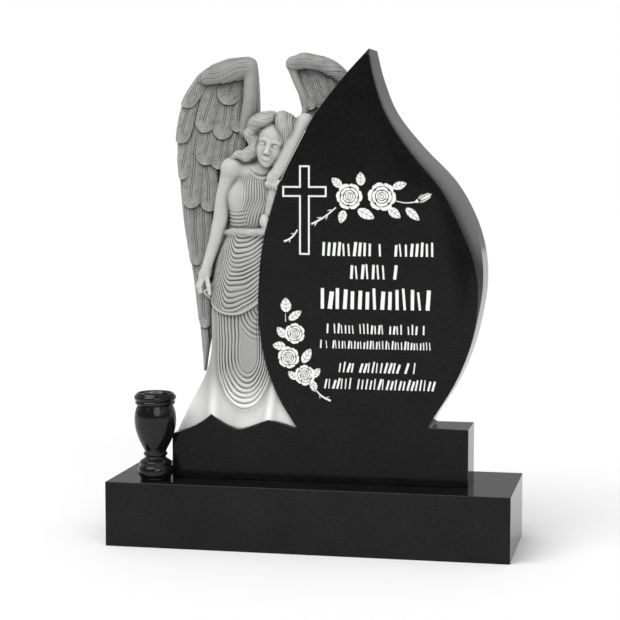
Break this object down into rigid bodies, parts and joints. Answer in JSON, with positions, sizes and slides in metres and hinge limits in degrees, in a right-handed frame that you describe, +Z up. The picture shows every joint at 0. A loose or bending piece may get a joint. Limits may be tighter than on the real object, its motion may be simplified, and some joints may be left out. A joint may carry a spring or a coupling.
{
  "type": "headstone",
  "caption": "Leaf-shaped upright headstone on a low base, with a carved winged figure in a gown down one side and a turned flower vase with a pierced lid.",
  "frame": {"origin": "middle of the base's underside", "axes": "+Z up, the carved and engraved side faces -Y, +X to the right seen from the front"},
  "size_m": [1.22, 0.4, 1.4875],
  "materials": {
    "base_stone": "polished black granite",
    "tablet_stone": "polished black granite with a white painted engraving",
    "carved_stone": "fine-rubbed pale grey stone",
    "vase_stone": "polished black granite",
    "vase_lid": "polished black"
  },
  "bodies": {
    "root": {"base": "base_stone", "tablet": "tablet_stone", "angel": "carved_stone", "vase": "vase_stone", "vase_lid": "vase_lid"}
  },
  "joints": []
}
